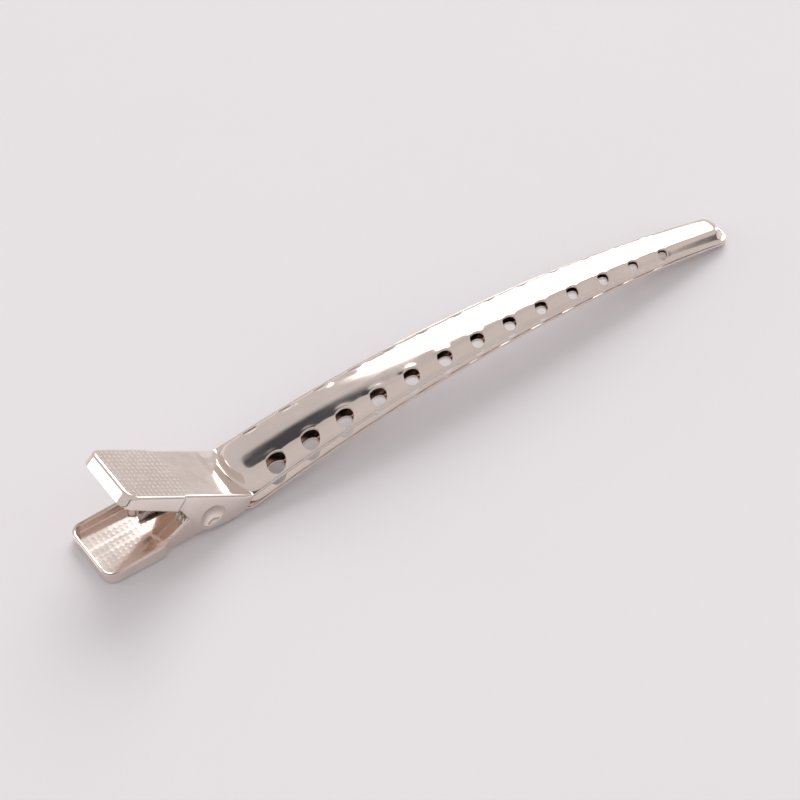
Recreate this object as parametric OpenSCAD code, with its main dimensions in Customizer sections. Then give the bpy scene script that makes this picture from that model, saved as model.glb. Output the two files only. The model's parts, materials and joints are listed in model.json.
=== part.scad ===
// Sectioning clip: two stamped steel leaves on a flared pivot pin, held shut by a torsion spring.
// X runs along the clip towards the jaw tip, Y along the pivot, Z up. The clip lies on z = 0,
// and the origin is the centre of its footprint. Millimetres.

/* [Overall] */
// Length from the end of the handles to the tip of the jaws
clip_length = 120; // [112:1:130]
// Thickness of the sheet steel
sheet = 0.5; // [0.4:0.05:0.55]
// Angle between the two handles while the jaws are shut
handle_angle = 34; // [31:1:37]

/* [Handles] */
// Width of the finger pads
pad_width = 11.6; // [11.4:0.1:12.4]
// Width across the outer pair of ears
ear_width = 11.1; // [10.8:0.1:11.3]
// From the pivot to the end of a handle, along its plate
handle_reach = 18.2; // [17:0.2:19]
// From the pivot to the bend between handle and jaw, along the plate
bend_reach = 6.1; // [5.6:0.1:6.4]
// From the pivot to the outer face of a handle's plate
pivot_height = 3.65; // [3.5:0.05:3.9]
// Corner radius of a finger pad, seen square on
pad_corner = 2; // [1.4:0.1:2.6]
// Radius of the round lobe of an ear, about the pivot
ear_radius = 2.75; // [2.5:0.05:3]

/* [Jaws] */
// Half the width of a jaw where it leaves the bend
jaw_root_half = 5.45; // [5.2:0.05:5.5]
// Half the width of a jaw before its rounded tip
jaw_tip_half = 2.9; // [2.7:0.1:3.3]
// Rise of the jaws' arch over the straight line from bend to tip
arch_rise = 5.4; // [4.5:0.1:6]
// Height of the raised crown at its root
crown_root = 2.7; // [2.4:0.1:3]
// Height of the raised crown at its tip
crown_tip = 1.7; // [1.5:0.1:2]
// Gap between the shut jaws at the tip
tip_gap = 0.05; // [0.04:0.01:0.1]
// Number of holes along each side of a jaw
hole_count = 13; // [11:1:13]
// Distance between neighbouring holes
hole_pitch = 6.25; // [5.8:0.05:6.3]
// Radius of the largest hole, next to the handle
hole_root_r = 1.6; // [1.4:0.05:1.65]
// Radius of the smallest hole, next to the tip
hole_tip_r = 0.9; // [0.8:0.05:1]

/* [Pivot and spring] */
// Radius of the pivot pin
pin_r = 1.5; // [1.4:0.05:1.5]
// Radius of the pin's flared ends
flare_r = 2.1; // [2:0.05:2.2]
// Running clearance between the pin and the inner ears' bores, on the radius
pin_clearance = 0.05; // [0.03:0.01:0.08]
// Side play between an inner and an outer ear
ear_gap = 0.12; // [0.1:0.01:0.16]
// Diameter of the spring wire
wire_d = 0.8; // [0.7:0.05:0.85]
// Number of whole turns in the spring
spring_turns = 5; // [4:1:5]
// Length of a spring leg
leg_length = 8.5; // [7:0.5:9]

/* [Hidden] */
$fn = 48;
steel = [0.82, 0.8, 0.79];
wire_steel = [0.6, 0.6, 0.62];

pivot_x = handle_reach - clip_length / 2;
tip_x = clip_length / 2;
inner_ear_width = ear_width - 2 * (sheet + ear_gap);
// Free edge of a rim: its height over the pivot's level, carried on to the pivot, and its slope
rim_base = 0.7;
rim_slope = 0.045;
// Where the rim stops and the ear starts, measured from the pivot along the plate
rim_stop = 6.8;
// The pad narrows to the ears between these two distances from the pivot
pad_stop = 7.5;
ear_start = 7;
arch_fillet = 1.6;
// Bends of the two leaves, each at the plate's upper face
upper_bend = [
    pivot_x + bend_reach * cos(handle_angle) + pivot_height * sin(handle_angle),
    pivot_height + pivot_height * cos(handle_angle) - bend_reach * sin(handle_angle)
];
lower_bend = [pivot_x + bend_reach, sheet];
upper_tip_z = 2 * sheet + tip_gap;
lower_tip_z = sheet;
// Fractions of a jaw's half width: the foot and the shoulder of the crown, and the line of holes
crown_foot = 0.92;
crown_shoulder = 0.62;
hole_line = 0.7;
// Fractions of the crown's height: at its shoulder, and half way down its sloping side
shoulder_height = 0.88;
side_height = 0.5;
// At its two ends the crown narrows to this fraction of its width
crown_pinch = 0.4;
// The holes lie on the crown's sloping sides, so seen from above they are narrower across than along
hole_squash = 0.72;
// The crown's ends, and the length over which each one rounds off
crown_start_x = upper_bend[0] + 1;
crown_end_x = tip_x - 1.1;
crown_round = 3.4;
hole_start_x = upper_bend[0] + 5.3;
// The tip rounds off over this length and ends in a blunt edge of this fraction of the width
tip_round = 3;
tip_blunt = 0.4;
ring_step = 3;
tip_rings = 5;
// The plate's outline in the side view runs this far past the bend, into the jaw
root_overlap = 0.2;
// Depth of the pin's flares, and of the dish in each of its ends
flare_depth = 0.4;
dish_depth = 1;
wire_r = wire_d / 2;
// Radius of the coil at the middle of its wire, clear of the pin
coil_clearance = 0.1;
coil_r = pin_r + coil_clearance + wire_r;
// From the middle of the coil to its last turn, along the pin
coil_half = 2.25;
coil_steps = 84;
wire_sides = 8;
// Gap between a leg of the spring and the plate that it presses on
leg_gap = 0.03;

function mix(a, b, t) = a + (b - a) * t;
function clamp01(t) = max(0, min(1, t));

// Height of a rim's free edge above the pivot's level, at a distance from the pivot
function rim_edge(reach) = rim_base + rim_slope * reach;

// Point where a line from point p touches the circle of radius r about [0, 0]
function tangent_point(p, r, side) =
    let (a = atan2(p[1], p[0]) + side * acos(r / norm(p)))
    [r * cos(a), r * sin(a)];

// Round corner: an arc of radius r that leaves line p-a and joins line p-b
function fillet(p, a, b, r, steps = 6) =
    let (
        u = (a - p) / norm(a - p),
        v = (b - p) / norm(b - p),
        half = acos(u * v) / 2,
        m = (u + v) / norm(u + v),
        centre = p + m * r / sin(half),
        start = p + u * r / tan(half) - centre,
        turn = (180 - 2 * half) * sign(u[0] * v[1] - u[1] * v[0])
    )
    [for (i = [0 : steps])
        let (w = -turn * i / steps)
        centre + [start[0] * cos(w) - start[1] * sin(w), start[0] * sin(w) + start[1] * cos(w)]];

// Side view of a handle about its pivot: plate on top, rim at the left, ear round the pivot
module handle_side() {
    over = handle_reach + 1;
    rim_end = [-over, rim_edge(over)];
    rim_inner = [-rim_stop, rim_edge(rim_stop)];
    back = tangent_point(rim_inner, ear_radius, 1);
    bend_low = [bend_reach, pivot_height - sheet];
    front = tangent_point(bend_low, ear_radius, -1);
    polygon(concat(
        [rim_end, [-over, pivot_height], [bend_reach + root_overlap, pivot_height], bend_low, front, [0, 0], back],
        fillet(rim_inner, back, rim_end, arch_fillet)
    ));
    circle(ear_radius);
}

// Top view of a handle, drawn in by a margin: the pad with its round corners, then the ears
module handle_plan(ears, margin, bend_end) {
    end = handle_reach - margin;
    half = pad_width / 2 - margin;
    corner = pad_corner - margin;
    for (side = [-1, 1])
        translate([-end + corner, side * (half - corner)])
            circle(corner);
    translate([-end, -half + corner])
        square([corner, 2 * (half - corner)]);
    translate([-end + corner, -half])
        square([end - corner - pad_stop, 2 * half]);
    polygon([
        [-pad_stop, -half],
        [-ear_start, -ears / 2 + margin],
        [bend_end, -ears / 2 + margin],
        [bend_end, ears / 2 - margin],
        [-ear_start, ears / 2 - margin],
        [-pad_stop, half]
    ]);
}

// Handle with its rim and ears, about the pivot, plate up
module handle(ears) {
    root_end = bend_reach + 1;
    intersection() {
        rotate([90, 0, 0])
            linear_extrude(2 * pad_width, center = true)
                handle_side();
        union() {
            translate([0, 0, -ear_radius - 1])
                linear_extrude(pivot_height + ear_radius + 2)
                    difference() {
                        handle_plan(ears, 0, root_end);
                        handle_plan(ears, sheet, root_end + 1);
                    }
            translate([0, 0, pivot_height - sheet])
                linear_extrude(sheet + 1)
                    handle_plan(ears, 0, root_end);
        }
    }
}

// Jaw measures at a place x along the clip
function along(x) = (x - upper_bend[0]) / (tip_x - upper_bend[0]);
function straight_half(x) = mix(jaw_root_half, jaw_tip_half, clamp01(along(x)));
function tip_factor(x) =
    let (t = clamp01((x - tip_x + tip_round) / tip_round))
    max(tip_blunt, sqrt(1 - t * t));
function round_end(t) = sqrt(1 - pow(1 - clamp01(t), 2));
function crown_factor(x) =
    round_end((x - crown_start_x) / crown_round) * round_end((crown_end_x - x) / crown_round);
function crown_height(x) =
    mix(crown_tip, crown_root, pow(1 - clamp01(along(x)), 2)) * crown_factor(x);
function arch(x, bend, tip_z) =
    let (t = (x - bend[0]) / (tip_x - bend[0]))
    mix(bend[1], tip_z, t) + 4 * arch_rise * t * (1 - t);

// Upper outline of a jaw across its width, at x
function jaw_line(x, base) =
    let (
        half = straight_half(x) * tip_factor(x),
        width = half * mix(crown_pinch, 1, crown_factor(x)),
        foot = crown_foot * width,
        shoulder = crown_shoulder * width,
        rise = crown_height(x)
    )
    [
        [-half, base],
        [-foot, base],
        [-mix(foot, shoulder, 0.5), base + side_height * rise],
        [-shoulder, base + shoulder_height * rise],
        [0, base + rise],
        [shoulder, base + shoulder_height * rise],
        [mix(foot, shoulder, 0.5), base + side_height * rise],
        [foot, base],
        [half, base]
    ];

function jaw_ring(x, base) =
    let (top = jaw_line(x, base), last = len(top) - 1)
    concat(
        [for (p = top) [x, p[0], p[1]]],
        [for (i = [last : -1 : 0]) [x, top[i][0], top[i][1] - sheet]]
    );

// Solid through a list of rings that have the same number of points
module skin(rings) {
    n = len(rings[0]);
    last = len(rings) - 1;
    points = [for (ring = rings) each ring];
    sides = [for (i = [0 : last - 1], j = [0 : n - 1])
        let (k = (j + 1) % n)
        each [
            [i * n + j, i * n + k, (i + 1) * n + k],
            [i * n + j, (i + 1) * n + k, (i + 1) * n + j]
        ]];
    caps = [for (j = [0 : n / 2 - 2])
        let (a = j, b = j + 1, c = n - 2 - j, d = n - 1 - j, e = last * n)
        each [[c, b, a], [d, c, a], [e + a, e + b, e + c], [e + a, e + c, e + d]]];
    polyhedron(points, concat(sides, caps), convexity = 10);
}

// Places of the jaw's rings: even steps, then closer ones round the tip
function ring_places(start) =
    let (
        end = tip_x - tip_round,
        count = ceil((end - start) / ring_step)
    )
    concat(
        [start],
        [for (i = [1 : 2]) start + i * ring_step / 2],
        [for (i = [2 : count]) mix(start, end, i / count)],
        [for (i = [1 : tip_rings]) end + tip_round * sin(90 * i / tip_rings)]
    );

module jaw(bend, tip_z) {
    difference() {
        skin([for (x = ring_places(bend[0])) jaw_ring(x, arch(x, bend, tip_z))]);
        for (i = [0 : hole_count - 1], side = [-1, 1]) {
            x = hole_start_x + i * hole_pitch;
            r = mix(hole_root_r, hole_tip_r, i / (hole_count - 1));
            translate([x, side * hole_line * straight_half(x), arch(x, bend, tip_z) - 2])
                scale([1, hole_squash, 1])
                    cylinder(h = 6, r = r, $fn = 24);
        }
    }
}

// Hole through both outer ears, opened out to take the pin's flares
module flared_bore() {
    rotate([90, 0, 0]) {
        cylinder(h = ear_width + 1, r = pin_r, center = true);
        for (side = [0, 1])
            mirror([0, 0, side])
                translate([0, 0, ear_width / 2 - flare_depth])
                    cylinder(h = flare_depth, r1 = pin_r, r2 = flare_r);
    }
}

module upper_leaf() {
    color(steel) {
        translate([pivot_x, 0, pivot_height])
            rotate([0, handle_angle, 0])
                difference() {
                    handle(ear_width);
                    flared_bore();
                }
        jaw(upper_bend, upper_tip_z);
    }
}

module lower_leaf() {
    color(steel) {
        translate([pivot_x, 0, pivot_height])
            mirror([0, 0, 1])
                difference() {
                    handle(inner_ear_width);
                    rotate([90, 0, 0])
                        cylinder(h = pad_width, r = pin_r + pin_clearance, center = true);
                }
        jaw(lower_bend, lower_tip_z);
    }
}

// Pin with a dished, flared end in each outer ear
module pivot_pin() {
    end = ear_width / 2;
    half_profile = [
        [0, end - dish_depth],
        [0.45 * pin_r, end - 0.95 * dish_depth],
        [0.85 * pin_r, end - 0.6 * dish_depth],
        [flare_r - 0.15, end],
        [flare_r, end],
        [pin_r, end - flare_depth]
    ];
    mirrored = [for (i = [len(half_profile) - 1 : -1 : 0]) [half_profile[i][0], -half_profile[i][1]]];
    color(steel)
        translate([pivot_x, 0, pivot_height])
            rotate([90, 0, 0])
                rotate_extrude()
                    polygon(concat(half_profile, mirrored));
}

// Ring of the spring wire at an angle about the pivot, moved along the tangent by slide
function wire_ring(angle, y, slide) =
    [for (j = [0 : wire_sides - 1])
        let (
            a = 360 * j / wire_sides,
            r = coil_r + wire_r * cos(a)
        )
        [
            r * cos(angle) + slide * sin(angle),
            y + wire_r * sin(a),
            r * sin(angle) - slide * cos(angle)
        ]];

// Spring: a leg under each handle's plate, and a coil round the pin between the inner ears
module torsion_spring() {
    reach = norm([coil_r, leg_length]);
    press = pivot_height - sheet - wire_r - leg_gap;
    leave = asin(press / reach) + acos(coil_r / reach);
    start = 180 - handle_angle - leave;
    finish = 180 + leave - 360 * (spring_turns + 1);
    rings = concat(
        [wire_ring(start, -coil_half, -leg_length)],
        [for (i = [0 : coil_steps])
            wire_ring(mix(start, finish, i / coil_steps), mix(-coil_half, coil_half, i / coil_steps), 0)],
        [wire_ring(finish, coil_half, leg_length)]
    );
    color(wire_steel)
        translate([pivot_x, 0, pivot_height])
            skin(rings);
}

upper_leaf();
lower_leaf();
pivot_pin();
torsion_spring();
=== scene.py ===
"""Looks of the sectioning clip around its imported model. Shapes are worked out in millimetres
in the model's own frame: X towards the jaw tips, Y along the pivot, Z up."""

import json
import math

import bmesh
import bpy
import numpy as np
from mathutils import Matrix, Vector


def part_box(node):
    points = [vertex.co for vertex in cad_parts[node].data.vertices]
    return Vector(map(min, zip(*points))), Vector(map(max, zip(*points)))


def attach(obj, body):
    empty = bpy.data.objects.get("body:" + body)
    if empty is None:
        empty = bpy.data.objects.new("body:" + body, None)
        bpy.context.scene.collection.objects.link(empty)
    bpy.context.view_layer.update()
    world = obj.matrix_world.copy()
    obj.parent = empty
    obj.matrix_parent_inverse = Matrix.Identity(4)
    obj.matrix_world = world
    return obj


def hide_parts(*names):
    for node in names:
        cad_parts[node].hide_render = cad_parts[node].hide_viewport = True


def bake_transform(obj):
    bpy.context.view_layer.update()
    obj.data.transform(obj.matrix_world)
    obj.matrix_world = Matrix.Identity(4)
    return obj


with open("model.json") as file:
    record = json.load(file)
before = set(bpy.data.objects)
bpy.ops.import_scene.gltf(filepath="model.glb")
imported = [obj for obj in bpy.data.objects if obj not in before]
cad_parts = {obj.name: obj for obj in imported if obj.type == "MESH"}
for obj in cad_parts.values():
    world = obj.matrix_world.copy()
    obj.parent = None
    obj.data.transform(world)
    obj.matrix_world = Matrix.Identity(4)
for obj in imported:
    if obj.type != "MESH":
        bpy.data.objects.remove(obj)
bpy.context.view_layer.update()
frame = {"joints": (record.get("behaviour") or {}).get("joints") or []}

MM = 0.001

# Measures shared with the model, in millimetres
PIVOT_X = frame["joints"][0]["pos_m"][0] / MM
PIVOT_Z = frame["joints"][0]["pos_m"][2] / MM
TIP_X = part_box("upper_leaf")[1].x / MM
REACH = PIVOT_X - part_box("lower_leaf")[0].x / MM
ANGLE = math.radians(34)
SHEET = 0.5
PLATE = PIVOT_Z
BEND = 6.1
PAD_HALF = 5.8
PAD_CORNER = 2.0
EAR_HALF = 5.55
INNER_EAR_HALF = 4.93
EAR_RADIUS = 2.75
RIM_BASE, RIM_SLOPE = 0.7, 0.045
RIM_STOP = 6.8
ARCH_FILLET = 1.6
JAW_ROOT, JAW_TIP = 5.45, 2.9
ARCH_RISE = 5.4
CROWN_ROOT, CROWN_TIP = 2.7, 1.7
HOLES = 13
HOLE_PITCH = 6.25
HOLE_ROOT_R, HOLE_TIP_R = 1.6, 0.9
HOLE_LINE = 0.7
HOLE_SQUASH = 0.72
PIN_R, FLARE_R = 1.5, 2.1
PIN_CLEARANCE = 0.05
WIRE_R = 0.4
SPRING_TURNS = 5
LEG = 8.5
COIL_R = 2.0
COIL_HALF = 2.25

UPPER_BEND = (
    PIVOT_X + BEND * math.cos(ANGLE) + PLATE * math.sin(ANGLE),
    PLATE + PLATE * math.cos(ANGLE) - BEND * math.sin(ANGLE),
)
LOWER_BEND = (PIVOT_X + BEND, SHEET)
HOLE_X = UPPER_BEND[0] + 5.3 + HOLE_PITCH * np.arange(HOLES)
HOLE_R = np.linspace(HOLE_ROOT_R, HOLE_TIP_R, HOLES)

# The crown's foot, as a fraction of the jaw's half width, and how steeply its side rises from there
CROWN_FOOT, CROWN_SIDE = 0.92, 2.95

# Soft shapes that only the looks have
WALL_BEND = 0.55  # radius of the bend between a plate and its side walls
END_LEAN = 0.2  # outward lean of the upper pad's end rim, as a slope
EDGE = 0.1  # rounding of a wall's free edge
JAW_EDGE = 0.12  # rounding of a jaw's edge
JAW_INSET = 0.16  # how far the inner face is drawn in along a jaw
HOLE_EDGE = 0.07  # rounding of a hole's edge
FIELD_START, FIELD_END = 4.2, 2.0  # the valley runs from this far before the bend to this far past it
VALLEY_SIDE, VALLEY_MIDDLE = 0.16, 0.5  # softness of the valley at the sheet's edge and in its middle
UPRIGHT = 3.0  # over this length the wall turns from square to the plate to upright
TIP_CORNER = 2.2  # corner radius of a jaw's tip, seen from above
PIT_DEPTH, INNER_PIT = 0.014, 0.15  # depth of a knurl's pit, and the share of it that shows inside
PIT_R, PITS = 0.2, 12  # radius of a pit, and the number of pits across a pad
LIP = 0.045  # height of the lip round a hole, for each millimetre of its radius
FLARE_DEPTH, DISH_R, DISH_DEPTH = 0.4, 1.98, 0.75
PIN_GAP = 0.012  # gap between the flares and the ears' seats
LEG_GAP = 0.03  # gap between a leg of the spring and its plate


def mix(a, b, t):
    return a + (b - a) * t


def smooth(a, b, x):
    t = np.clip((x - a) / (b - a), 0, 1)
    return t * t * (3 - 2 * t)


def soft_max(a, b, k):
    return 0.5 * (a + b + np.sqrt((a - b) ** 2 + k * k))


def soft_min(a, b, k):
    return 0.5 * (a + b - np.sqrt((a - b) ** 2 + k * k))


# ---------------------------------------------------------------- the sheet's shape
def along(x):
    return np.clip((x - UPPER_BEND[0]) / (TIP_X - UPPER_BEND[0]), 0, 1)


def jaw_half(x):
    return mix(JAW_ROOT, JAW_TIP, along(x))


def crown(x, y):
    """Height of the raised crown: a broad dome with sloping sides, lifted a little round each hole."""
    rise = mix(CROWN_TIP, CROWN_ROOT, (1 - along(x)) ** 2)
    half = jaw_half(x)
    root = np.maximum(0, UPPER_BEND[0] + 1.9 - x) / 4.0 * CROWN_FOOT
    tip = np.maximum(0, x - TIP_X + 2.8) / 2.1 * CROWN_FOOT
    rho = np.sqrt((y / half) ** 2 + root**2 + tip**2)
    side = (CROWN_FOOT - rho) * CROWN_SIDE
    shape = soft_max(soft_min(1 - 0.3 * rho**2, side, 0.11), 0, 0.07)
    k = np.clip(np.round((x - HOLE_X[0]) / HOLE_PITCH), 0, HOLES - 1).astype(int)
    xk, rk = HOLE_X[k], HOLE_R[k]
    yk = HOLE_LINE * jaw_half(xk)
    away = np.hypot(x - xk, (np.abs(y) - yk) / HOLE_SQUASH) - rk
    lip = LIP * rk * np.exp(-((np.maximum(away, 0) / (0.45 * rk)) ** 2))
    return rise * shape + lip * smooth(0.98, 0.9, rho)


def rim_profile():
    """Free edge of a handle's side walls: pairs of distance from the pivot and height above it."""

    def tangent(p, side):
        a = math.atan2(p[1], p[0]) + side * math.acos(EAR_RADIUS / math.hypot(*p))
        return np.array([EAR_RADIUS * math.cos(a), EAR_RADIUS * math.sin(a)])

    corner = np.array([RIM_STOP, RIM_BASE + RIM_SLOPE * RIM_STOP])
    back = tangent(corner, -1)
    front = tangent((-BEND, PLATE - SHEET), 1)
    u = np.array([1, RIM_SLOPE]) / math.hypot(1, RIM_SLOPE)
    v = (back - corner) / np.linalg.norm(back - corner)
    reach = ARCH_FILLET / math.tan(math.acos(u @ v) / 2)
    points = [(-BEND, PLATE - SHEET)]
    a0 = math.atan2(front[1], front[0])
    a1 = math.atan2(back[1], back[0])
    if a0 > 0:
        a0 -= 2 * math.pi
    for t in np.linspace(0, 1, 60):
        a = mix(a0, a1, t)
        points.append((EAR_RADIUS * math.cos(a), EAR_RADIUS * math.sin(a)))
    start, end = corner + v * reach, corner + u * reach
    for t in np.linspace(0, 1, 14):
        points.append(tuple((1 - t) ** 2 * start + 2 * t * (1 - t) * corner + t * t * end))
    points.append((REACH + 2, RIM_BASE + RIM_SLOPE * (REACH + 2)))
    return np.array(points)


RIM = rim_profile()


def wall_depth(s):
    return PLATE - np.interp(s, RIM[:, 0], RIM[:, 1])


def knurl(s, y, half):
    """Depth of the pressed pits over a finger pad."""
    pitch = 2 * (PAD_HALF - WALL_BEND) / PITS
    ds = np.mod(s, pitch) - pitch / 2
    dy = np.mod(y, pitch) - pitch / 2
    pit = np.exp(-(((ds**2 + dy**2) / PIT_R**2) ** 1.5))
    fade = smooth(4.8, 7.2, s) * smooth(0.5, 0.9, REACH - s) * smooth(0.5, 0.9, half - np.abs(y))
    return PIT_DEPTH * pit * fade


class Leaf:
    """One stamped leaf as a single closed sheet, made of quads that follow its shape."""

    FINE, COARSE = 96, 48  # columns across the handle and across the jaw
    BLOCK = 14  # columns of the block round a hole
    HALF_BLOCK = 5  # rows of the block, each side of the hole's middle
    ROWS = 16  # rows from one hole to the next

    def __init__(self, name, upper, ear_half, bend, tip_z, jog):
        self.name, self.upper, self.ear_half, self.bend = name, upper, ear_half, bend
        self.tip_z, self.jog = tip_z, jog
        # The ears widen to the jaw between these places; the lower leaf's widen past the upper leaf's ears
        self.widen = (-4.4, -BEND) if upper else (-5.6, -7.3)
        turn = ANGLE if upper else 0.0
        side = 1 if upper else -1
        self.u = (-math.cos(turn), math.sin(turn))
        self.n = (side * math.sin(turn), side * math.cos(turn))
        self.points, self.count, self.faces = [], 0, []
        self.lay_stations()
        self.lay_faces()

    def base(self, x):
        """Height of the arched jaw over x, without its crown."""
        t = (x - self.bend[0]) / (TIP_X - self.bend[0])
        return mix(self.bend[1], self.tip_z, t) + 4 * ARCH_RISE * t * (1 - t)

    def on_handle(self, s, d):
        """Place (x, z) on the handle at distance s from the pivot along the plate, at depth d."""
        h = PLATE - d
        return PIVOT_X + s * self.u[0] + h * self.n[0], PIVOT_Z + s * self.u[1] + h * self.n[1]

    def plate_line(self, x, d):
        """Height of the handle's plate at depth d, carried on past the bend."""
        x0, z0 = self.on_handle(0.0, 0.0)
        if not self.upper:
            return d + 0 * x
        return z0 - (x - x0) * math.tan(ANGLE) - d / math.cos(ANGLE)

    def spot(self, kind, p, y, d):
        """Points of the sheet at depth d below its outer face, as an (n, 3) array."""
        p, y, d = (np.asarray(a, float) for a in np.broadcast_arrays(p, y, d))
        if kind == "handle":
            x, z = self.on_handle(p, d)
            return np.stack([x, y, z], -1)
        x = p
        if self.upper:
            start = self.bend[0] - FIELD_START
            x = p - d * self.n[0] * (1 - smooth(start, start + UPRIGHT, p))
        z = self.base(x) + crown(x, y) + (-d if self.upper else d - SHEET)
        if np.any(x < self.bend[0] + FIELD_END + 1):
            past = x - self.bend[0]
            fillet = mix(VALLEY_SIDE, VALLEY_MIDDLE, smooth(1.0, 0.55, np.abs(y) / JAW_ROOT))
            fillet = fillet * smooth(FIELD_END + 0.6, FIELD_END - 1.2, past)
            fillet = fillet * smooth(-FIELD_START, -FIELD_START + 1.2, past) + 1e-6
            z = soft_max(z, self.plate_line(x, d), fillet)
        return np.stack([x, y, z], -1)

    def reach_of(self, x):
        """Distance s along the plate of the place over x on the sheet's outer face."""
        x0, _ = self.on_handle(0.0, 0.0)
        return (x - x0) / self.u[0]

    def outline_half(self, kind, p):
        """Half the leaf's width at place p of a row."""
        s = p if kind == "handle" else self.reach_of(p)
        half = mix(self.ear_half, PAD_HALF, smooth(7.0, self.jog, s))
        root = jaw_half(p) if kind == "jaw" else JAW_ROOT
        return mix(half, root, smooth(self.widen[0], self.widen[1], s))

    def add(self, points):
        first = self.count
        self.points.append(np.asarray(points).reshape(-1, 3))
        self.count += len(self.points[-1])
        return list(range(first, self.count))

    def lay_stations(self):
        """Rows across the leaf from the pad's end to the tip: (kind, place, how far round the tip)."""
        cc = REACH - PAD_CORNER
        rr = PAD_CORNER - WALL_BEND
        field = self.bend[0] - FIELD_START
        step = HOLE_PITCH / self.ROWS
        first = HOLE_X[0] - self.HALF_BLOCK * step
        last = HOLE_X[-1] + self.HALF_BLOCK * step
        tip = TIP_X - TIP_CORNER
        rows = [("handle", cc + rr * (1 - k / 11), 0) for k in range(11)]
        rows += [("handle", s, 0) for s in np.linspace(cc, 4.4, 113)]
        stop = self.reach_of(field)
        n = math.ceil((4.4 - stop) / 0.23)
        rows += [("handle", s, 0) for s in np.linspace(4.4, stop, n + 1)[1:-1]]
        n = math.ceil((first - field) / 0.15)
        rows += [("jaw", x, 0) for x in np.linspace(field, first, n + 1)[:-1]]
        self.first_row = len(rows)
        n = round((last - first) / step)
        rows += [("jaw", first + k * step, 0) for k in range(n)]
        n = math.ceil((tip - last) / 0.3)
        rows += [("jaw", x, 0) for x in np.linspace(last, tip, n + 1)]
        rows += [("jaw", tip, k / 9) for k in range(1, 10)]
        self.rows = rows
        # Past this row there are half as many columns
        self.switch = next(i for i, r in enumerate(rows) if r[0] == "handle" and r[1] < 0.6)

    def row_shape(self, i):
        """Bend radius at the sheet's edge, inner inset, wall depth and how far the wall stands."""
        kind, p, _ = self.rows[i]
        if kind == "handle":
            return WALL_BEND, WALL_BEND, None, 1.0
        s = self.reach_of(p)
        depth = max(SHEET, float(wall_depth(s))) if s > -BEND else SHEET
        wall = float(np.clip((depth - SHEET) / 0.3, 0, 1))
        t = float(smooth(SHEET + 0.1, SHEET + 0.7, depth))
        return mix(JAW_EDGE, WALL_BEND, t), mix(JAW_INSET, WALL_BEND, t), depth, wall

    def row_spots(self, i, inset):
        """Places (p, y) across row i of a face whose outline is drawn in by inset."""
        kind, p, f = self.rows[i]
        cols = self.FINE if i <= self.switch else self.COARSE
        q = np.linspace(-1, 1, cols + 1)
        if kind == "jaw" and f > 0:
            p = p + f * (TIP_CORNER - inset)
        half = self.outline_half(kind, p)
        y = q * (half - inset)
        p = np.full_like(y, p)
        if kind == "handle":
            centre, yc = REACH - PAD_CORNER, half - PAD_CORNER
        else:
            centre, yc = TIP_X - TIP_CORNER, half - TIP_CORNER
        a = np.maximum(p - centre, 0)
        b = np.maximum(np.abs(y) - yc, 0)
        a[a < 1e-9] = 0
        n = np.maximum(np.hypot(a, b), 1e-12)
        k = np.where(a > 0, np.maximum(a, b) / n, 1)
        p2 = np.where(a > 0, centre + a * k, p)
        y2 = np.where((a > 0) & (b > 0), np.sign(y) * (yc + b * k), y)
        dp = np.where(a > 0, a / n, 0)
        dy = np.where(a > 0, np.sign(y) * b / n, np.sign(y))
        return p2, y2, dp, dy

    def edge_profile(self, r, depth, inner, wall):
        """Section from the outer face round the sheet's edge to the inner face: insets and depths."""
        thick = min(SHEET, inner - 0.03)
        ri = inner - thick
        e2 = min(EDGE, thick / 3)
        out = []
        # round the bend, down the wall, and round its free edge
        for k in range(1, 8):
            f = math.pi / 2 * k / 7
            out.append((-r + r * math.sin(f), r - r * math.cos(f)))
        for k in range(1, 5):
            out.append((0.0, mix(r, depth - EDGE, k / 4)))
        for k in range(1, 4):
            f = math.pi / 2 * k / 3
            out.append((-EDGE + EDGE * math.cos(f), depth - EDGE + EDGE * math.sin(f)))
        # across the free edge, up the wall's inner side, and round to the inner face
        out.append((-(EDGE + thick - e2) / 2, depth))
        out.append((-thick + e2, depth))
        for k in range(1, 4):
            f = math.pi / 2 * k / 3
            out.append((-thick + e2 - e2 * math.sin(f), depth - wall * e2 * (1 - math.cos(f))))
        for k in range(1, 5):
            out.append((-thick - 0.001 * k, mix(depth - wall * e2, SHEET + wall * ri, k / 4)))
        for k in range(1, 4):
            f = math.pi / 2 * k / 4
            inset = thick + 0.004 + (ri - 0.004) * (1 - math.cos(f))
            out.append((-inset, SHEET + wall * ri * (1 - math.sin(f))))
        return np.array(out)

    def lay_faces(self):
        rows = self.rows
        last = len(rows) - 1
        # the two faces, row by row, and the section round the edge at each end of a row
        outer, inner = [], []
        outer_at, inner_at = [], []
        rim = {}
        for i, (kind, _, _) in enumerate(rows):
            r, inset, depth, wall = self.row_shape(i)
            p, y, dp, dy = self.row_spots(i, r)
            pb, yb, _, _ = self.row_spots(i, inset)
            cols = len(y) - 1
            ends = range(cols + 1) if i in (0, last) else (0, cols)
            for j in ends:
                ddp, ddy = dp[j], dy[j]
                if i in (0, last) and ddp == 0 and ddy == 0:
                    ddp = 1.0
                reach = wall_depth(p[j] + r * ddp) if depth is None else depth
                prof = self.edge_profile(r, float(reach), inset, wall)
                rim[i, j] = (kind, p[j], y[j], ddp, ddy, r, prof)
                pb[j] = p[j] + (r - inset) * ddp
                yb[j] = y[j] + (r - inset) * ddy
            pit = 0
            if kind == "handle":
                pit = knurl(p, y, self.outline_half(kind, p))
                pit[0] = pit[-1] = 0
            outer.append(self.add(self.spot(kind, p, y, 0.0 + pit)))
            inner.append(self.add(self.spot(kind, pb, yb, SHEET + INNER_PIT * pit)))
            outer_at.append(np.stack([p, y], -1))
            inner_at.append(np.stack([pb, yb], -1))
        self.outer, self.inner, self.outer_at, self.inner_at = outer, inner, outer_at, inner_at

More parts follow.
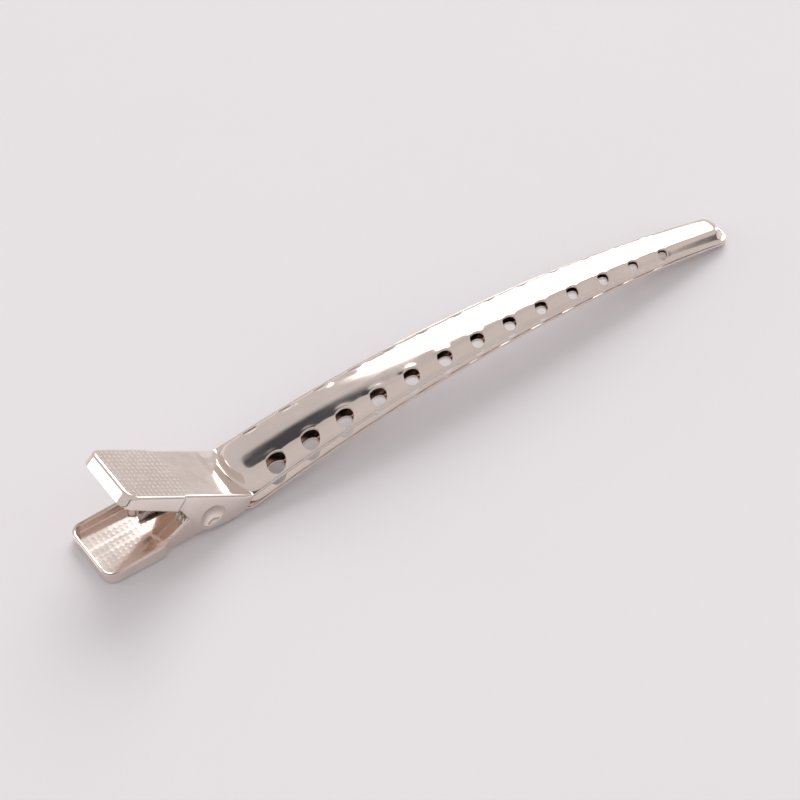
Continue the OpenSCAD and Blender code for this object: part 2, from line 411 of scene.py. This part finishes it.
        # the holes' blocks are left out of the plain grid and filled with rings
        blocks = set()
        for k in range(HOLES):
            mid = self.first_row + self.HALF_BLOCK + self.ROWS * k
            for side in (-1, 1):
                j0 = 0 if side < 0 else self.COARSE - self.BLOCK
                for i in range(mid - self.HALF_BLOCK, mid + self.HALF_BLOCK):
                    for j in range(j0, j0 + self.BLOCK):
                        blocks.add((i, j))
                self.lay_hole(mid, j0, side, k)
        for i in range(last):
            for grid in (outer, inner):
                a, b = grid[i], grid[i + 1]
                if len(a) == len(b):
                    for j in range(len(a) - 1):
                        if (i, j) not in blocks:
                            self.faces.append((a[j], a[j + 1], b[j + 1], b[j]))
                else:
                    for m in range(len(b) - 1):
                        self.faces.append((a[2 * m], a[2 * m + 1], a[2 * m + 2], b[m + 1], b[m]))

        # the sheet's edge, once round the leaf
        loop = [(i, 0) for i in range(last + 1)]
        loop += [(last, j) for j in range(1, self.COARSE + 1)]
        loop += [(i, self.COARSE if i > self.switch else self.FINE) for i in range(last - 1, -1, -1)]
        loop += [(0, j) for j in range(self.FINE - 1, 0, -1)]
        strips = []
        for i, j in loop:
            kind, p, y, dp, dy, r, prof = rim[i, j]
            lean = END_LEAN * np.maximum(prof[:, 1] - r, 0) * (self.upper and kind == "handle")
            move = r + prof[:, 0] + lean * abs(dp)
            ids = self.add(self.spot(kind, p + move * dp, y + move * dy, prof[:, 1]))
            strips.append([outer[i][j]] + ids + [inner[i][j]])
        for a, b in zip(strips, strips[1:] + strips[:1]):
            for k in range(len(a) - 1):
                self.faces.append((a[k], a[k + 1], b[k + 1], b[k]))

    def lay_hole(self, mid, j0, side, k):
        """A hole's rings: from its block of the grid in to the hole's edge, through, and out again."""
        i0, i1, j1 = mid - self.HALF_BLOCK, mid + self.HALF_BLOCK, j0 + self.BLOCK
        loop = [(i, j0) for i in range(i0, i1)] + [(i1, j) for j in range(j0, j1)]
        loop += [(i, j1) for i in range(i1, i0, -1)] + [(i0, j) for j in range(j1, j0, -1)]
        x0, y0, r = HOLE_X[k], side * HOLE_LINE * jaw_half(HOLE_X[k]), HOLE_R[k]
        rings = []
        for grid, at, depth in ((self.outer, self.outer_at, 0.0), (self.inner, self.inner_at, SHEET)):
            rim = np.array([at[i][j] for i, j in loop])
            low, high = at[mid][j0][1], at[mid][j1][1]
            dx = (rim[:, 0] - x0) / (self.HALF_BLOCK * HOLE_PITCH / self.ROWS)
            dy = rim[:, 1] - y0
            dy = np.where(dy > 0, dy / (high - y0), dy / (y0 - low))
            turn = np.arctan2(dy, dx)
            way = np.stack([np.cos(turn), HOLE_SQUASH * np.sin(turn)], -1)
            edge = np.array([x0, y0]) + (r + HOLE_EDGE) * way
            group = [[grid[i][j] for i, j in loop]]
            for m in range(1, 5):
                at_m = mix(rim, edge, 1 - (1 - m / 4) ** 1.3)
                group.append(self.add(self.spot("jaw", at_m[:, 0], at_m[:, 1], depth)))
            if depth == 0:
                for q, d in self.hole_wall(r):
                    at_m = np.array([x0, y0]) + q * way
                    group.append(self.add(self.spot("jaw", at_m[:, 0], at_m[:, 1], d)))
                rings += group
            else:
                rings += group[::-1]
        for a, b in zip(rings, rings[1:]):
            for m in range(len(a)):
                n = (m + 1) % len(a)
                self.faces.append((a[m], a[n], b[n], b[m]))

    def hole_wall(self, r):
        """Section through a hole of radius r, from the outer face to the inner: radii and depths."""
        down = []
        for k in range(1, 4):
            f = math.pi / 2 * k / 3
            down.append((r + HOLE_EDGE * (1 - math.sin(f)), HOLE_EDGE * (1 - math.cos(f))))
        return down + [(r, SHEET / 2)] + [(q, SHEET - d) for q, d in reversed(down)]

    def build(self, cutter):
        obj = new_mesh(self.name, np.concatenate(self.points), self.faces)
        cut(obj, cutter)
        finish_shading(obj, 42)
        return obj


# ---------------------------------------------------------------- mesh helpers
def new_mesh(name, points, faces):
    mesh = bpy.data.meshes.new(name)
    mesh.from_pydata((np.asarray(points, float) * MM).tolist(), [], [tuple(map(int, f)) for f in faces])
    bm = bmesh.new()
    bm.from_mesh(mesh)
    bmesh.ops.recalc_face_normals(bm, faces=bm.faces)
    bm.to_mesh(mesh)
    bm.free()
    obj = bpy.data.objects.new(name, mesh)
    bpy.context.scene.collection.objects.link(obj)
    return obj


def finish_shading(obj, angle):
    """Smooth shading, with edges sharper than the angle in degrees kept crisp."""
    obj.data.shade_smooth()
    obj.data.set_sharp_from_angle(angle=math.radians(angle))


def cut(obj, cutter):
    """Subtract the cutter from a piece and remove it."""
    modifier = obj.modifiers.new("bore", "BOOLEAN")
    modifier.operation = "DIFFERENCE"
    modifier.solver = "EXACT"
    modifier.object = cutter
    graph = bpy.context.evaluated_depsgraph_get()
    mesh = bpy.data.meshes.new_from_object(obj.evaluated_get(graph))
    obj.modifiers.remove(modifier)
    obj.data = mesh
    mesh.name = obj.name
    bpy.data.objects.remove(cutter)


def lathe(name, profile, segments):
    """Closed solid of revolution about the pivot's axis, from pairs of radius and place along Y."""
    points, faces, rings = [], [], []
    for r, y in profile:
        if r < 1e-6:
            rings.append([len(points)])
            points.append((PIVOT_X, y, PIVOT_Z))
            continue
        rings.append(list(range(len(points), len(points) + segments)))
        for k in range(segments):
            a = 2 * math.pi * k / segments
            points.append((PIVOT_X + r * math.cos(a), y, PIVOT_Z + r * math.sin(a)))
    for a, b in zip(rings, rings[1:]):
        for k in range(segments):
            n = (k + 1) % segments
            if len(a) == 1:
                faces.append((a[0], b[k], b[n]))
            elif len(b) == 1:
                faces.append((a[n], a[k], b[0]))
            else:
                faces.append((a[k], b[k], b[n], a[n]))
    return new_mesh(name, points, faces)


def pin_profile():
    """The pin's section from one dished end to the other: pairs of radius and place along Y."""
    end = EAR_HALF
    half = [(DISH_R * k / 14, end - DISH_DEPTH * (1 - (k / 14) ** 2)) for k in range(15)]
    half += [(FLARE_R - 0.07, end), (FLARE_R - 0.03, end - 0.015), (FLARE_R, end - 0.05)]
    neck = end - FLARE_DEPTH
    half += [(mix(FLARE_R, PIN_R, t), mix(end - 0.05, neck, t)) for t in (0.25, 0.5, 0.75)]
    half += [(PIN_R, neck), (PIN_R, neck - 0.3)]
    return half + [(PIN_R, y) for y in (3.0, 1.5, 0.0, -1.5, -3.0)] + [(r, -y) for r, y in reversed(half)]


def flared_cutter():
    """Seats for the pin's flared ends in the upper leaf's ears."""
    far, wide, narrow = EAR_HALF + 1, FLARE_R + PIN_GAP, PIN_R + PIN_GAP
    half = [(0.0, far), (wide, far), (wide, EAR_HALF - 0.05), (narrow, EAR_HALF - FLARE_DEPTH - PIN_GAP)]
    return lathe("cutter", half + [(r, -y) for r, y in reversed(half)], 128)


def plain_cutter():
    """Running bores for the pin in the lower leaf's ears."""
    r = PIN_R + PIN_CLEARANCE
    return lathe("cutter", [(0.0, 7.0), (r, 7.0), (r, -7.0), (0.0, -7.0)], 128)


def spring_mesh():
    """The wire's path: a straight leg, the coil round the pin, and the other leg, with rounded ends."""
    reach = math.hypot(COIL_R, LEG)
    press = PLATE - SHEET - WIRE_R - LEG_GAP
    leave = math.asin(press / reach) + math.acos(COIL_R / reach)
    start = math.pi - ANGLE - leave
    finish = math.pi + leave - 2 * math.pi * (SPRING_TURNS + 1)
    sides = 20
    rounds = 5
    quarter = [math.pi / 2 * k / rounds for k in range(rounds + 1)]
    legs = [(LEG - WIRE_R * 0.7 * math.sin(f), max(math.cos(math.pi / 2 - f), 0.18)) for f in quarter]
    straight = [(d, 1.0) for d in np.linspace(LEG - WIRE_R, 0, 12)[1:]]
    path = [(start, -COIL_HALF, -d, w) for d, w in legs + straight]
    steps = 260
    path += [(mix(start, finish, k / steps), mix(-COIL_HALF, COIL_HALF, k / steps), 0.0, 1.0)
             for k in range(1, steps)]
    path += [(finish, COIL_HALF, d, w) for d, w in reversed(legs + straight)]
    points, faces = [], []
    for angle, y, slide, w in path:
        for j in range(sides):
            a = 2 * math.pi * j / sides
            r = COIL_R + w * WIRE_R * math.cos(a)
            points.append((
                PIVOT_X + r * math.cos(angle) + slide * math.sin(angle),
                y + w * WIRE_R * math.sin(a),
                PIVOT_Z + r * math.sin(angle) - slide * math.cos(angle),
            ))
    n = len(path)
    for i in range(n - 1):
        for j in range(sides):
            k = (j + 1) % sides
            faces.append((i * sides + j, i * sides + k, (i + 1) * sides + k, (i + 1) * sides + j))
    faces.append(tuple(range(sides)))
    faces.append(tuple((n - 1) * sides + j for j in reversed(range(sides))))
    return new_mesh("torsion_spring_wire", points, faces)


# ---------------------------------------------------------------- materials
class Nodes:
    """A small helper that adds nodes and links by name."""

    def __init__(self, tree):
        self.tree = tree
        tree.nodes.clear()

    def add(self, kind, **values):
        node = self.tree.nodes.new(kind)
        for key, value in values.items():
            if key in node.inputs:
                node.inputs[key].default_value = value
            else:
                setattr(node, key, value)
        return node

    def link(self, a, b):
        self.tree.links.new(a, b)


def noise(n, coord, scale, detail=2.0, stretch=None, rough=0.5):
    source = coord
    if stretch:
        mapping = n.add("ShaderNodeMapping")
        mapping.inputs["Scale"].default_value = stretch
        n.link(coord, mapping.inputs["Vector"])
        source = mapping.outputs["Vector"]
    node = n.add("ShaderNodeTexNoise")
    node.inputs["Scale"].default_value = scale
    node.inputs["Detail"].default_value = detail
    node.inputs["Roughness"].default_value = rough
    n.link(source, node.inputs["Vector"])
    return node.outputs["Fac"]


def ramp(n, value, low, high, to_low, to_high):
    node = n.add("ShaderNodeMapRange")
    node.inputs["From Min"].default_value = low
    node.inputs["From Max"].default_value = high
    node.inputs["To Min"].default_value = to_low
    node.inputs["To Max"].default_value = to_high
    n.link(value, node.inputs["Value"])
    return node.outputs["Result"]


def maths(n, operation, a, b):
    node = n.add("ShaderNodeMath", operation=operation)
    for slot, value in enumerate((a, b)):
        if isinstance(value, (int, float)):
            node.inputs[slot].default_value = value
        else:
            n.link(value, node.inputs[slot])
    return node.outputs[0]


def tint(n, factor, a, b):
    node = n.add("ShaderNodeMix", data_type="RGBA")
    node.inputs[6].default_value = (*a, 1)
    node.inputs[7].default_value = (*b, 1)
    n.link(factor, node.inputs[0])
    return node.outputs[2]


def nickel():
    """Bright nickel plate: soft clouding and hairlines along the clip."""
    material = bpy.data.materials.new("bright_nickel")
    material.use_nodes = True
    n = Nodes(material.node_tree)
    shader = n.add("ShaderNodeBsdfPrincipled")
    out = n.add("ShaderNodeOutputMaterial")
    n.link(shader.outputs[0], out.inputs[0])
    shader.inputs["Metallic"].default_value = 1.0
    coord = n.add("ShaderNodeTexCoord").outputs["Object"]
    cloud = noise(n, coord, 160, 4)
    hair = noise(n, coord, 900, 3, stretch=(0.06, 1, 1))
    grain = noise(n, coord, 4200, 2)
    base = tint(n, ramp(n, cloud, 0.35, 0.7, 0, 1), (0.825, 0.73, 0.675), (0.87, 0.785, 0.735))
    n.link(base, shader.inputs["Base Color"])
    rough = maths(n, "ADD", ramp(n, cloud, 0.3, 0.75, 0.055, 0.11), ramp(n, hair, 0.45, 0.8, 0.0, 0.09))
    n.link(rough, shader.inputs["Roughness"])
    height = maths(n, "ADD", maths(n, "MULTIPLY", hair, 0.35), maths(n, "MULTIPLY", grain, 0.12))
    height = maths(n, "ADD", height, maths(n, "MULTIPLY", noise(n, coord, 340, 2), 0.9))
    bump = n.add("ShaderNodeBump")
    bump.inputs["Strength"].default_value = 0.16
    bump.inputs["Distance"].default_value = 0.00004
    n.link(height, bump.inputs["Height"])
    n.link(bump.outputs[0], shader.inputs["Normal"])
    return material


def drawn_wire():
    """Darker drawn spring wire with fine lines round its length."""
    material = bpy.data.materials.new("drawn_wire")
    material.use_nodes = True
    n = Nodes(material.node_tree)
    shader = n.add("ShaderNodeBsdfPrincipled")
    out = n.add("ShaderNodeOutputMaterial")
    n.link(shader.outputs[0], out.inputs[0])
    shader.inputs["Metallic"].default_value = 1.0
    coord = n.add("ShaderNodeTexCoord").outputs["Object"]
    lines = noise(n, coord, 2600, 3, stretch=(0.3, 1.6, 0.3))
    cloud = noise(n, coord, 420, 3)
    n.link(tint(n, cloud, (0.44, 0.41, 0.385), (0.60, 0.575, 0.55)), shader.inputs["Base Color"])
    n.link(ramp(n, lines, 0.3, 0.75, 0.2, 0.42), shader.inputs["Roughness"])
    bump = n.add("ShaderNodeBump")
    bump.inputs["Strength"].default_value = 0.3
    bump.inputs["Distance"].default_value = 0.00003
    n.link(lines, bump.inputs["Height"])
    n.link(bump.outputs[0], shader.inputs["Normal"])
    return material


def table_top():
    """Pale matt table, faintly uneven in tone."""
    material = bpy.data.materials.new("pale_table")
    material.use_nodes = True
    n = Nodes(material.node_tree)
    shader = n.add("ShaderNodeBsdfPrincipled")
    out = n.add("ShaderNodeOutputMaterial")
    n.link(shader.outputs[0], out.inputs[0])
    shader.inputs["Roughness"].default_value = 0.7
    shader.inputs["Specular IOR Level"].default_value = 0.25
    coord = n.add("ShaderNodeTexCoord").outputs["Object"]
    grain = noise(n, coord, 14, 3)
    n.link(tint(n, grain, (0.855, 0.845, 0.875), (0.88, 0.87, 0.90)), shader.inputs["Base Color"])
    return material


# ---------------------------------------------------------------- the pieces
upper = Leaf("upper_leaf_sheet", True, EAR_HALF, UPPER_BEND, 2 * SHEET + 0.05, 7.7).build(flared_cutter())
lower = Leaf("lower_leaf_sheet", False, INNER_EAR_HALF, LOWER_BEND, SHEET, 8.8).build(plain_cutter())
pin = lathe("pivot_pin_flared", pin_profile(), 96)
finish_shading(pin, 50)
spring = spring_mesh()
finish_shading(spring, 60)

plate_finish, wire_finish = nickel(), drawn_wire()
for piece, body, node, slot, material in (
    (upper, "upper", "upper_leaf", "plated_steel", plate_finish),
    (lower, "lower", "lower_leaf", "plated_steel", plate_finish),
    (pin, "upper", "pivot_pin", "plated_steel", plate_finish),
):
    piece.data.materials.clear()
    piece.data.materials.append(material)
    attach(piece, body)
    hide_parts(node)
spring.data.materials.append(wire_finish)
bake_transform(spring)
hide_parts("torsion_spring")

# ---------------------------------------------------------------- floor, light, camera
FLOOR_HALF, FLOOR_Z = 2000, -0.02
corners = [(x * FLOOR_HALF, y * FLOOR_HALF, FLOOR_Z) for x, y in ((-1, -1), (1, -1), (1, 1), (-1, 1))]
floor = new_mesh("floor", corners, [(0, 1, 2, 3)])
floor.data.materials.append(table_top())


def studio():
    """Soft light from all round, with one broad soft box behind, a low one by the handles, and dark gaps."""
    world = bpy.data.worlds.new("studio")
    bpy.context.scene.world = world
    world.use_nodes = True
    n = Nodes(world.node_tree)
    background = n.add("ShaderNodeBackground")
    out = n.add("ShaderNodeOutputWorld")
    n.link(background.outputs[0], out.inputs[0])
    way = n.add("ShaderNodeTexCoord").outputs["Generated"]

    def lobe(direction, inner, outer):
        """1 inside the inner angle about a direction, falling to 0 at the outer angle, in degrees."""
        v = Vector(direction).normalized()
        dot = n.add("ShaderNodeVectorMath", operation="DOT_PRODUCT")
        dot.inputs[1].default_value = v
        n.link(way, dot.inputs[0])
        node = n.add("ShaderNodeMapRange", interpolation_type="SMOOTHSTEP")
        node.inputs["From Min"].default_value = math.cos(math.radians(outer))
        node.inputs["From Max"].default_value = math.cos(math.radians(inner))
        n.link(dot.outputs["Value"], node.inputs["Value"])
        return node.outputs["Result"]

    def over(base, factor, colour):
        """A colour laid over what is there, by a factor."""
        node = n.add("ShaderNodeMix", data_type="RGBA")
        n.link(factor, node.inputs[0])
        if isinstance(base, tuple):
            node.inputs[6].default_value = (*base, 1)
        else:
            n.link(base, node.inputs[6])
        node.inputs[7].default_value = (*colour, 1)
        return node.outputs[2]

    def band(axis, low, high):
        """How far the direction's part along one axis lies between low and high."""
        parts = n.add("ShaderNodeSeparateXYZ")
        n.link(way, parts.inputs[0])
        node = n.add("ShaderNodeMapRange", interpolation_type="SMOOTHSTEP")
        node.inputs["From Min"].default_value = low
        node.inputs["From Max"].default_value = high
        n.link(parts.outputs[axis], node.inputs["Value"])
        return node.outputs["Result"]

    # soft room light, a dark low band, a dark gap overhead, the main soft box and two smaller ones
    sky = over((0.66, 0.62, 0.61), lobe((0, 0, 1), 10, 75), (0.60, 0.575, 0.575))
    sky = over(sky, maths(n, "MULTIPLY", band("Z", 0.14, 0.05), band("Y", -0.1, -0.4)), (0.12, 0.11, 0.11))
    sky = over(sky, lobe((0.08, 0.36, 0.93), 8, 13), (0.07, 0.07, 0.08))
    sky = over(sky, lobe((0.58, 0.57, 0.58), 18, 21.5), (4.6, 4.5, 4.4))
    sky = over(sky, lobe((0.96, 0.22, 0.18), 7, 12), (2.6, 2.55, 2.5))
    sky = over(sky, lobe((-0.80, 0.60, 0.16), 12, 17), (3.0, 2.95, 2.9))
    n.link(sky, background.inputs["Color"])
    background.inputs["Strength"].default_value = 1.0


studio()

camera_data = bpy.data.cameras.new("camera")
camera = bpy.data.objects.new("camera", camera_data)
bpy.context.scene.collection.objects.link(camera)
bpy.context.scene.camera = camera
camera.location = (-0.1520, -0.2103, 0.2874)
aim = Vector((-0.0069, -0.0037, 0.005)) - camera.location
camera.rotation_euler = aim.to_track_quat("-Z", "Y").to_euler()
camera_data.sensor_width = 36
camera_data.lens = 112
camera_data.clip_start, camera_data.clip_end = 0.01, 10
bpy.context.scene.view_settings.view_transform = "Standard"
